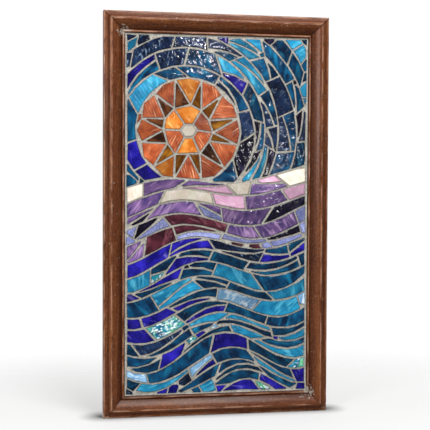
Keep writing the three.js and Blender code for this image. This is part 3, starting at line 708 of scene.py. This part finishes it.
@dataclass
class Moulding:
    """The four mitred rails, of one moulding: an arris, a flat band, a rounded crest, a slope and a lip.

    Args:
        panel: the panel's sizes.
        depth, side, lip_front: from the back to the crest, to the outer arris and to the lip's crest.
        arris: radius of the outer arris.
        band, band_rise: width of the flat band, and how far it climbs.
        quirk: the small step at the edge of the band.
        rounding: from the band to the crest.
        swell: above 1, the slope from the crest to the lip swells out and steepens.
        lip, lip_rise: width of the lip at the opening, and how far it stands up.
        rabbet, rabbet_floor: width of the rabbet, and from the back to its shelf.
        mitre_gap: between a mitre and the corner.
        flats: how many of them follow the arris, the rounding, the slope and the lip.
        pitch: between the cuts along a rail.
        wear, wear_length, wear_width: how deep tools and use have marked it, and the size of a mark.
        names: the rails, from the top one clockwise.
        shift: between the grain of one rail and the next.
    """

    panel: Panel
    depth: float = 20 * MM
    side: float = 14 * MM
    arris: float = 1.6 * MM
    band: float = 6.6 * MM
    band_rise: float = 1.1 * MM
    rounding: float = 4.2 * MM
    quirk: float = 0.8 * MM
    swell: float = 1.5
    lip: float = 4.2 * MM
    lip_front: float = 13.2 * MM
    lip_rise: float = 2.4 * MM
    rabbet: float = 6 * MM
    rabbet_floor: float = 7 * MM
    mitre_gap: float = 0.15 * MM
    flats: tuple[int, int, int, int] = (5, 8, 22, 10)
    pitch: float = 6 * MM
    wear: float = 0.12 * MM
    wear_length: float = 22 * MM
    wear_width: float = 5 * MM
    names: tuple[str, ...] = ("frame_top_rail", "frame_right_stile", "frame_bottom_rail", "frame_left_stile")
    shift: float = 0.37

    @staticmethod
    def _turn(angle: float, steps: int) -> list[tuple[float, float]]:
        """Returns the cosine and sine at even steps of an angle, from 0 to the whole of it."""
        turned = [angle * i / steps for i in range(steps + 1)]
        return [(math.cos(a), math.sin(a)) for a in turned]

    def section(self) -> list[tuple[float, float]]:
        """Returns the moulding's section: distances inward and forward."""
        rail = self.panel.rail
        band_top = self.side + self.band_rise
        round_rise = self.depth - band_top - self.quirk
        crest = self.band + self.rounding
        half_lip, lip_base = self.lip / 2, self.lip_front - self.lip_rise
        slope, fall = rail - self.lip - crest, self.depth - lip_base
        on_arris, on_rounding, on_slope, on_lip = self.flats
        points = [(0.0, 0.0), (0.0, (self.side - self.arris) / 2)]
        for cosine, sine in self._turn(math.pi / 2, on_arris):
            points.append((self.arris * (1 - cosine), self.side - self.arris * (1 - sine)))
        points += [(self.band / 2, self.side + self.band_rise / 2), (self.band, band_top)]
        for cosine, sine in self._turn(math.pi / 2, on_rounding)[:-1]:
            points.append((crest - self.rounding * cosine, self.depth - round_rise * (1 - sine)))
        for share in (i / on_slope for i in range(on_slope)):
            points.append((crest + slope * share, self.depth - fall * share**self.swell))
        for cosine, sine in self._turn(math.pi, on_lip):
            points.append((rail - half_lip * (1 + cosine), lip_base + self.lip_rise * sine))
        rabbet = rail - self.rabbet
        return [*points, (rail, self.rabbet_floor), (rabbet, self.rabbet_floor), (rabbet, 0.0)]

    def _rail(self, length: float, seed: float) -> BMesh:
        """Returns one rail, its outer edge along X, its inside down and its front towards -Y."""
        mesh = bmesh.new()
        corners = [mesh.verts.new((0.0, -forward, -inward)) for inward, forward in self.section()]
        face = mesh.faces.new(corners)
        made = bmesh.ops.extrude_face_region(mesh, geom=[face])["geom"]
        far = {item for item in made if isinstance(item, BMVert)}
        for vert in mesh.verts:
            way = 1.0 if vert in far else -1.0
            vert.co.x = way * (length / 2 + vert.co.z - self.mitre_gap)
        cuts = int(length / self.pitch)
        for i in range(1, cuts):
            place = Vector((length * (i / cuts - 0.5), 0.0, 0.0))
            geometry = [*mesh.verts, *mesh.edges, *mesh.faces]
            bmesh.ops.bisect_plane(mesh, geom=geometry, plane_co=place, plane_no=(1.0, 0.0, 0.0), dist=WELD)
        bmesh.ops.recalc_face_normals(mesh, faces=mesh.faces)
        timber = mesh.verts.layers.float_vector.new("timber")
        mitre = mesh.verts.layers.float.new("mitre")
        for vert in mesh.verts:
            vert[timber] = Vector((vert.co.x + seed, -vert.co.z, -vert.co.y + seed))
            vert[mitre] = length / 2 + vert.co.z - self.mitre_gap - abs(vert.co.x)
            self._mark(vert, seed)
        return mesh

    def _mark(self, vert: BMVert, seed: float) -> None:
        """Moves a vertex of the moulded face a little, as tools and use leave it."""
        inward = -vert.co.z
        if vert.co.y <= -self.rabbet_floor and 0.5 * MM < inward <= self.panel.rail - 0.2 * MM:
            spot = Vector((vert.co.x / self.wear_length, -inward / self.wear_width, seed * 31))
            vert.co.y += self.wear * noise.noise(spot)

    def build(self) -> None:
        """Builds and dresses the four rails."""
        panel, rail = self.panel, self.panel.rail
        upper_left = (panel.left + rail, -self.lip_front, panel.top - rail)
        lower_right = (panel.right - rail, -self.lip_front, panel.bottom + rail)
        feet = ((panel.left, -self.side, panel.bottom), (panel.right, -self.side, panel.bottom))
        wood = StainedWood(smears=(upper_left, lower_right), chips=feet).material()
        for number, name in enumerate(self.names):
            upright = number % 2 == 1
            length, across = (panel.height, panel.width) if upright else (panel.width, panel.height)
            mesh = self._rail(length, self.shift * (number + 1))
            lift = Matrix.Translation((0.0, 0.0, across / 2))
            spin = Matrix.Rotation(math.pi / 2 * number, 4, "Y")
            bmesh.ops.transform(mesh, matrix=Matrix.Translation(panel.centre) @ spin @ lift, verts=mesh.verts)
            add_piece(name + "_moulding", mesh, wood, [name])


@dataclass
class Board:
    """The backing board in the rabbet.

    Args:
        node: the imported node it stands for.
        arris: how far its edges are eased.
    """

    node: str = "backing_board"
    arris: float = 0.5 * MM

    def build(self) -> None:
        """Builds and dresses the board."""
        low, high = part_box(self.node)
        mesh = bmesh.new()
        bmesh.ops.create_cube(mesh, size=1.0)
        bmesh.ops.scale(mesh, vec=high - low, verts=mesh.verts)
        bmesh.ops.translate(mesh, vec=(low + high) / 2, verts=mesh.verts)
        ease(mesh, mesh.edges, self.arris)
        add_piece("board", mesh, BOARD.material(), [self.node])


@dataclass
class Design:
    """Where the picture's regions lie, for pieces of glass that have no node of their own.

    Args:
        panel: the panel's sizes.
        sun_aside, sun_drop: the sun's centre, from the left side and the top of the opening.
        eye, disc, rays, glow: radii that bound the sun's rings, at the middles of their pieces.
        cloud_drop: the top of the clouds, from the top of the opening.
        lane: height of one lane.
        cloud_lanes, hill_lanes: how many lanes are cloud, and how many below them are hill.
        wave: length of a wave.
        swell, growth: amplitude at the top of the clouds, and how much it grows downwards.
        lean: height over which the crests lean by a wave.
        start: phase at the top of the clouds.
        slope: how the lanes climb to the right.
        rounds: how many times the level of a point is worked out anew.
        palettes: the kinds of glass in each region, a common one more than once.
    """

    panel: Panel
    sun_aside: float = 87 * MM
    sun_drop: float = 130 * MM
    eye: float = 8 * MM
    disc: float = 34 * MM
    rays: float = 54 * MM
    glow: float = 73 * MM
    cloud_drop: float = 196 * MM
    lane: float = 18 * MM
    cloud_lanes: int = 2
    hill_lanes: int = 3
    wave: float = 205 * MM
    swell: float = 7 * MM
    growth: float = 0.061
    lean: float = 571 * MM
    start: float = 3.8
    slope: float = 0.09
    rounds: int = 8
    palettes: Mapping[str, Sequence[str]] = field(
        default_factory=lambda: {
            "sun_eye": ["cream_pearl"],
            "sun_wedge": ["orange", "copper", "orange"],
            "sun_ray": ["amber", "amber", "brown"],
            "sun_glow": ["copper", "copper", "orange", "amber"],
            "sky": ["teal", "teal", "teal", "navy", "navy", "plum", "cobalt", "turquoise"],
            "cloud": ["pink_pearl", "cream_pearl", "pink_pearl", "purple"],
            "hill": ["lavender", "purple", "lavender", "purple", "plum", "wine"],
            "wave": ["teal"] * 4 + ["navy"] + ["turquoise", "cobalt"] * 2 + ["sky_blue", "crackle"],
        }
    )

    def region(self, x: float, z: float) -> str:
        """Returns the name of the region that a point of the panel is in."""
        top = self.panel.top - self.panel.rail
        left = self.panel.left + self.panel.rail
        reach = math.hypot(x - left - self.sun_aside, z - top + self.sun_drop)
        down = top - self.cloud_drop - z
        level = down
        for _ in range(self.rounds):
            turns = x / self.wave - level / self.lean
            swell = self.swell + self.growth * level
            level = down + swell * math.sin(2 * math.pi * turns + self.start) + self.slope * x
        lanes = {"cloud": self.cloud_lanes, "hill": self.cloud_lanes + self.hill_lanes}
        if level > 0:
            return next((name for name, last in lanes.items() if level < last * self.lane), "wave")
        rings = {"sun_eye": self.eye, "sun_wedge": self.disc, "sun_ray": self.rays, "sun_glow": self.glow}
        return next((name for name, radius in rings.items() if reach < radius), "sky")

    def slot(self, x: float, z: float) -> str:
        """Returns the kind of glass of the piece whose middle is at a point."""
        palette = self.palettes[self.region(x, z)]
        draw = random.Random(f"{round(x / MM)} {round(z / MM)}")
        return draw.choice(palette) + "_glass"


@dataclass
class Shard:
    """One piece of cut glass.

    Args:
        outline: its corners on the panel, as x and z.
        slot: the kind of its glass.
        node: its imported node, if it has one of its own.
    """

    outline: list[Vector]
    slot: str = ""
    node: str | None = None

    @property
    def middle(self) -> Vector:
        """Returns the mean of its corners."""
        return sum(self.outline, Vector((0.0, 0.0))) / len(self.outline)

    def edge_distance(self, x: float, z: float) -> float:
        """Returns how far a point is from the nearest side."""
        nearest = math.inf
        previous = self.outline[-1]
        for corner in self.outline:
            side_x, side_z = corner.x - previous.x, corner.y - previous.y
            away_x, away_z = x - previous.x, z - previous.y
            length = side_x * side_x + side_z * side_z
            share = min(1.0, max(0.0, (away_x * side_x + away_z * side_z) / length))
            nearest = min(nearest, math.hypot(away_x - side_x * share, away_z - side_z * share))
            previous = corner
        return nearest


@dataclass
class Mosaic:
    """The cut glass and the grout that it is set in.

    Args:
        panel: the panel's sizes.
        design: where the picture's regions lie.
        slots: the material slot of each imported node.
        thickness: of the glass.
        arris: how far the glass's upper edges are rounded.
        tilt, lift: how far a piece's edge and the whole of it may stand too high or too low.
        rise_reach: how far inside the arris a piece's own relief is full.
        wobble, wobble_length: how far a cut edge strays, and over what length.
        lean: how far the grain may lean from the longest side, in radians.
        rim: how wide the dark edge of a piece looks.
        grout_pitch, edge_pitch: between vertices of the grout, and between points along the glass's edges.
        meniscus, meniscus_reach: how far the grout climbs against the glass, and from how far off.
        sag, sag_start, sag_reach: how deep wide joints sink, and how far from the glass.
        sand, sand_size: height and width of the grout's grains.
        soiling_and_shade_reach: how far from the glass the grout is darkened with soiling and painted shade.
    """

    panel: Panel
    design: Design
    slots: Mapping[str, str]
    thickness: float = 3 * MM
    arris: float = 0.45 * MM
    tilt: float = 0.22 * MM
    lift: float = 0.1 * MM
    rise_reach: float = 1.2 * MM
    wobble: float = 0.3 * MM
    wobble_length: float = 6 * MM
    lean: float = 0.25
    # rim: how wide the painted shade along a piece's edge is.
    rim: float = 1.1 * MM
    grout_pitch: float = 1.35 * MM
    edge_pitch: float = 0.8 * MM
    meniscus: float = 0.4 * MM
    meniscus_reach: float = 1.1 * MM
    sag: float = 0.3 * MM
    sag_start: float = 1.5 * MM
    sag_reach: float = 2.5 * MM
    sand: float = 0.1 * MM
    sand_size: float = 2.1 * MM
    soiling_and_shade_reach: float = 1.3 * MM

    def _outlines(self, node: str) -> list[list[Vector]]:
        """Returns the outlines of the faces of a node that lie where the glass's face does."""
        mesh = bmesh.new()
        mesh.from_mesh(bpy.data.objects[node].data)
        bmesh.ops.remove_doubles(mesh, verts=mesh.verts, dist=WELD)
        level = -self.panel.glass_front
        low = [f for f in mesh.faces if any(abs(v.co.y - level) > 0.05 * MM for v in f.verts)]
        bmesh.ops.delete(mesh, geom=low, context="FACES")
        bmesh.ops.dissolve_limit(mesh, angle_limit=math.radians(0.2), verts=mesh.verts, edges=mesh.edges)
        outlines = [[Vector((v.co.x, v.co.z)) for v in face.verts] for face in mesh.faces]
        mesh.free()
        return outlines

    def shards(self) -> list[Shard]:
        """Returns every piece of glass, with its kind."""
        alone = [pair for pair in self.slots.items() if pair[1].endswith("_glass")]
        found = [Shard(outline, slot, node) for node, slot in alone for outline in self._outlines(node)]
        for shard in map(Shard, self._outlines("mosaic_bed")):
            shard.slot = self.design.slot(shard.middle.x, shard.middle.y)
            found.append(shard)
        return found

    def _strayed(self, x: float, z: float) -> tuple[float, float]:
        """Returns a point of the panel moved as hand cutting moves it."""
        aside = noise.noise_vector(Vector((x, z, 0.3)) / self.wobble_length) * self.wobble
        return x + aside.x, z + aside.y

    def _slab(self, shard: Shard) -> tuple[BMesh, list[BMFace]]:
        """Returns a piece of glass with its upper edges rounded, and the triangles of its face."""
        front = -self.panel.glass_front
        mesh = bmesh.new()
        corners = [mesh.verts.new((p.x, front + self.thickness, p.y)) for p in shard.outline]
        base = mesh.faces.new(corners)
        made = bmesh.ops.extrude_face_region(mesh, geom=[base])["geom"]
        top = next(item for item in made if isinstance(item, BMFace))
        bmesh.ops.translate(mesh, vec=(0.0, -self.thickness, 0.0), verts=top.verts)
        ease(mesh, top.edges, self.arris)
        bmesh.ops.recalc_face_normals(mesh, faces=mesh.faces)
        flat = [f for f in mesh.faces if all(abs(v.co.y - front) < WELD for v in f.verts)]
        return mesh, bmesh.ops.triangulate(mesh, faces=flat)["faces"]

    def _gridded(self, mesh: BMesh, faces: list[BMFace], pitch: float, turn: float) -> None:
        """Cuts the face of a piece into a fine grid."""
        verts = {vert for face in faces for vert in face.verts}
        edges = {edge for face in faces for edge in face.edges}
        geometry = [*verts, *edges, *faces]
        for angle in (turn, turn + math.pi / 2):
            way = Vector((math.cos(angle), 0.0, math.sin(angle)))
            depths = [vert.co.dot(way) for vert in verts]
            first, span = min(depths), max(depths) - min(depths)
            count = int(span / pitch)
            for i in range(1, count + 1):
                place = way * (first + i * span / (count + 1))
                cut = bmesh.ops.bisect_plane(mesh, geom=geometry, plane_co=place, plane_no=way, dist=WELD)
                geometry = cut["geom"]

    def _glass(self, shard: Shard) -> BMesh:
        """Returns one finished piece of glass."""
        finish = FINISHES[shard.slot]
        middle = shard.middle
        draw = random.Random(f"{round(middle.x / MM, 1)} {round(middle.y / MM, 1)} cut")
        turn = draw.uniform(0, math.pi)
        slope = Vector((draw.uniform(-1, 1), draw.uniform(-1, 1)))
        slope *= self.tilt / max((corner - middle).length for corner in shard.outline)
        lift = draw.uniform(-self.lift, self.lift)
        seed, tone = draw.uniform(0, 40), draw.random()
        sides = [corner - shard.outline[i - 1] for i, corner in enumerate(shard.outline)]
        longest = max(sides, key=lambda side: side.length)
        grain = math.atan2(longest.y, longest.x) + draw.uniform(-self.lean, self.lean)
        mesh, faces = self._slab(shard)
        self._gridded(mesh, faces, finish.pitch, turn)
        cut_layer = mesh.verts.layers.float_vector.new("cut")
        painted_edge_shade_layer = mesh.verts.layers.float.new("rim")
        tone_layer = mesh.verts.layers.float.new("tone")
        back = -self.panel.glass_front + self.thickness / 2
        for vert in mesh.verts:
            x, z = vert.co.x, vert.co.z
            inside = shard.edge_distance(x, z)
            along = x * math.cos(grain) + z * math.sin(grain)
            across = z * math.cos(grain) - x * math.sin(grain)
            if vert.co.y < back:
                share = smooth((inside - self.arris) / self.rise_reach)
                vert.co.y -= share * finish.rise(along, across, seed) + lift
                vert.co.y -= slope.x * (x - middle.x) + slope.y * (z - middle.y)
            vert[cut_layer] = Vector((along, across, seed * 0.1))
            # how much painted edge shade this point gets
            vert[painted_edge_shade_layer] = 1 - smooth(inside / self.rim)
            vert[tone_layer] = tone
            vert.co.x, vert.co.z = self._strayed(x, z)
        return mesh

    def _build_glass(self, shards: Sequence[Shard]) -> None:
        """Builds the glass, as one piece for each kind."""
        for slot, finish in FINISHES.items():
            mine = [shard for shard in shards if shard.slot == slot]
            if not mine:
                continue
            joined = bmesh.new()
            for shard in mine:
                data = baked("cut", self._glass(shard))
                joined.from_mesh(data)
                bpy.data.meshes.remove(data)
            nodes = [shard.node for shard in mine if shard.node]
            add_piece(slot, joined, finish.material(), nodes, sharp=50)

    def _build_grout(self, shards: Sequence[Shard]) -> None:
        """Builds the grout, which climbs a little against each piece of glass."""
        low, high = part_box("mosaic_bed")
        width, height = high.x - low.x, high.z - low.z
        mesh = bmesh.new()
        grime = mesh.verts.layers.float.new("grime")
        across, up = round(width / self.grout_pitch), round(height / self.grout_pitch)
        bmesh.ops.create_grid(mesh, x_segments=across, y_segments=up, size=0.5)
        bmesh.ops.rotate(mesh, matrix=Matrix.Rotation(math.pi / 2, 3, "X"), verts=mesh.verts)
        bmesh.ops.scale(mesh, vec=(width, 1.0, height), verts=mesh.verts)
        middle = ((low.x + high.x) / 2, -self.panel.grout_front, (low.z + high.z) / 2)
        bmesh.ops.translate(mesh, vec=middle, verts=mesh.verts)
        face = list(mesh.verts)
        rim = [edge for edge in mesh.edges if edge.is_boundary]
        made = bmesh.ops.extrude_edge_only(mesh, edges=rim)["geom"]
        behind = [item for item in made if isinstance(item, BMVert)]
        bmesh.ops.translate(mesh, vec=(0.0, high.y + self.panel.grout_front, 0.0), verts=behind)
        bmesh.ops.contextual_create(mesh, geom=[edge for edge in mesh.edges if edge.is_boundary])
        bmesh.ops.recalc_face_normals(mesh, faces=mesh.faces)
        edge = self._edge_points(shards)
        for vert in face:
            x, z = vert.co.x, vert.co.z
            gap = edge.find((x, 0.0, z))[2]
            frame_gap = min(x - low.x, high.x - x, z - low.z, high.z - z)
            climb = 1 - smooth(min(gap, frame_gap) / self.meniscus_reach)
            # soiling and painted shade darken the grout close to the glass
            vert[grime] = 1 - smooth(gap / self.soiling_and_shade_reach)
            sag = smooth((gap - self.sag_start) / self.sag_reach) * self.sag
            sand = noise.noise(Vector((x, z, 0.0)) / self.sand_size) * self.sand
            vert.co.y -= self.meniscus * climb - sag + sand
        add_piece("grout", mesh, GROUT.material(), ["mosaic_bed"])

    def _edge_points(self, shards: Sequence[Shard]) -> KDTree:
        """Returns a search tree of points along the glass's edges."""
        points = []
        for shard in shards:
            for i, corner in enumerate(shard.outline):
                side = corner - shard.outline[i - 1]
                steps = max(1, int(side.length / self.edge_pitch))
                points += [shard.outline[i - 1] + side * (k / steps) for k in range(steps)]
        tree = KDTree(len(points))
        for number, point in enumerate(points):
            x, z = self._strayed(point.x, point.y)
            tree.insert((x, 0.0, z), number)
        tree.balance()
        return tree

    def build(self) -> None:
        """Builds and dresses the glass and the grout."""
        shards = self.shards()
        log.info("%d pieces of glass", len(shards))
        self._build_glass(shards)
        self._build_grout(shards)


@dataclass(frozen=True)
class Lamp:
    """A square light.

    Args:
        name: its name.
        place: from the panel's middle.
        size: its width.
        power: in watts.
    """

    name: str
    place: Point
    size: float
    power: float


@dataclass
class Studio:
    """The camera, the floor, the surroundings and the lights.

    Args:
        panel: the panel's sizes.
        focal: the lens's focal length, in widths of the picture.
        azimuth, elevation: how far the camera stands round to the left and looks down, in degrees.
        roll: how far it is turned about its own axis.
        distance: from the middle of the panel's face.
        aside, above: how far the camera is moved along its own right and its own up.
        face: how far the moulding's face is in front of the origin.
        floor_reach, floor_sides: how far from the panel's foot the floor ends, and how many sides it has.
        floor_body: how solid it is beyond the painted contact shadow.
        painted_shadow_reach: how far from the foot the painted contact shadow reaches.
            painted_shadow_colour, floor_pale: the painted shadow's colour at the foot, and the floor's colour
                further off.
        dim, bright: strength of the surroundings in front of the panel, and behind it.
        dim_end, bright_start: where the one ends and the other starts, as parts of the way back.
        lamps: the lights.
    """

    panel: Panel
    focal: float = 1000 / 430
    azimuth: float = -10.47
    elevation: float = 1.774
    roll: float = 0.2585
    distance: float = 1.3604
    aside: float = -0.005
    above: float = 0.0007
    face: float = 20 * MM
    floor_reach: float = 0.6
    floor_body: float = 0.6
    floor_sides: int = 96
    painted_shadow_reach: float = 0.035
    painted_shadow_colour: Colour = (0.05, 0.05, 0.05)
    floor_pale: Colour = (0.86, 0.86, 0.85)
    dim: float = 0.18
    bright: float = 1.04
    dim_end: float = 0.45
    bright_start: float = 0.88
    lamps: tuple[Lamp, ...] = (
        Lamp("key", (0.2, -0.75, 1.1), 0.5, 14.5),
        Lamp("fill", (-1.0, -1.15, 0.3), 0.45, 11.0),
        Lamp("top", (0.1, -0.35, 1.4), 0.6, 2.0),
        Lamp("spark", (0.26, -1.5, 0.46), 0.03, 1.1),
        Lamp("glint", (0.42, -1.45, 0.1), 0.022, 0.4),
    )

    def _camera(self) -> None:
        """Makes the camera and gives it to the scene."""
        azimuth, elevation, roll = (math.radians(a) for a in (self.azimuth, self.elevation, self.roll))
        level = Vector((math.sin(azimuth), -math.cos(azimuth), 0.0))
        back = level * math.cos(elevation) + Vector((0.0, 0.0, math.sin(elevation)))
        side = Vector((math.cos(azimuth), math.sin(azimuth), 0.0))
        top = back.cross(side)
        side, top = side * math.cos(roll) + top * math.sin(roll), top * math.cos(roll) - side * math.sin(roll)
        target = self.panel.centre + Vector((0.0, -self.face, 0.0))
        place = target + back * self.distance + side * self.aside + top * self.above
        lens = bpy.data.cameras.new("camera")
        lens.sensor_width = 36.0
        lens.lens = self.focal * lens.sensor_width
        camera = put("camera", lens)
        camera.matrix_world = Matrix.Translation(place) @ Matrix((side, top, back)).transposed().to_4x4()
        bpy.context.scene.camera = camera

    def _light(self, lamp: Lamp) -> None:
        """Adds a square light that looks at the panel's middle."""
        data = bpy.data.lights.new(lamp.name, "AREA")
        data.size = lamp.size
        data.energy = lamp.power
        light = put(lamp.name, data)
        light.location = self.panel.centre + Vector(lamp.place)
        light.rotation_euler = Vector(lamp.place).to_track_quat("Z", "Y").to_euler()

    def _floor(self) -> None:
        """Makes the white table top that the panel stands on, with a contact shadow painted darker at the
        panel's foot, fading out all round.
        """
        mesh = bmesh.new()
        radius = self.panel.width / 2 + self.floor_reach
        bmesh.ops.create_circle(mesh, cap_ends=True, segments=self.floor_sides, radius=radius)
        bmesh.ops.translate(mesh, vec=(0.0, 0.0, self.panel.bottom), verts=mesh.verts)
        data = baked("floor", mesh)
        graph = Graph(bpy.data.materials.new("floor"))
        place = graph.place()
        beside = graph.maths("MAXIMUM", abs(graph.part(place, "X")) - self.panel.width / 2, 0.0)
        before = graph.part(place, "Y")
        away = graph.maths("SQRT", beside * beside + before * before)
        # painted contact shadow: the floor's colour darkens towards the panel's foot, and the floor stays
        # solid there
        close = graph.step(away, 0.0, self.painted_shadow_reach)
        colour = graph.mix(close, self.painted_shadow_colour, self.floor_pale)
        fade = 1.0 - graph.step(away, 0.0, self.floor_reach)
        solid = fade * self.floor_body + (1.0 - close) * (1.0 - self.floor_body)
        data.materials.append(graph.shade(Base_Color=colour, Roughness=0.8, Alpha=solid))
        floor = put("floor", data)
        floor.visible_glossy = False
        floor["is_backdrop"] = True

    def _world(self) -> None:
        """Makes the surroundings: white behind the panel and dim in front of it."""
        graph = Graph(bpy.data.worlds.new("studio"), "Background")
        back = graph.step(graph.part(graph.place("Generated"), "Y"), self.dim_end, self.bright_start)
        graph.shade(Color=(1.0, 1.0, 1.0), Strength=back * (self.bright - self.dim) + self.dim)
        bpy.context.scene.world = graph.owner

    def build(self) -> None:
        """Sets up the whole studio."""
        bpy.context.scene.view_settings.view_transform = "Standard"
        self._world()
        for lamp in self.lamps:
            self._light(lamp)
        self._floor()
        self._camera()


def main() -> None:
    """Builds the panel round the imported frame."""
    logging.basicConfig(level=logging.INFO, format="%(name)s: %(message)s")
    noise.seed_set(NOISE_SEED)
    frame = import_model()
    panel = Panel.packed()
    slots = {row["node"]: row["material_slot"] for row in frame["record"]["subparts"]}
    Moulding(panel).build()
    Board().build()
    Mosaic(panel, Design(panel), slots).build()
    Studio(panel).build()


if __name__ == "__main__":
    main()
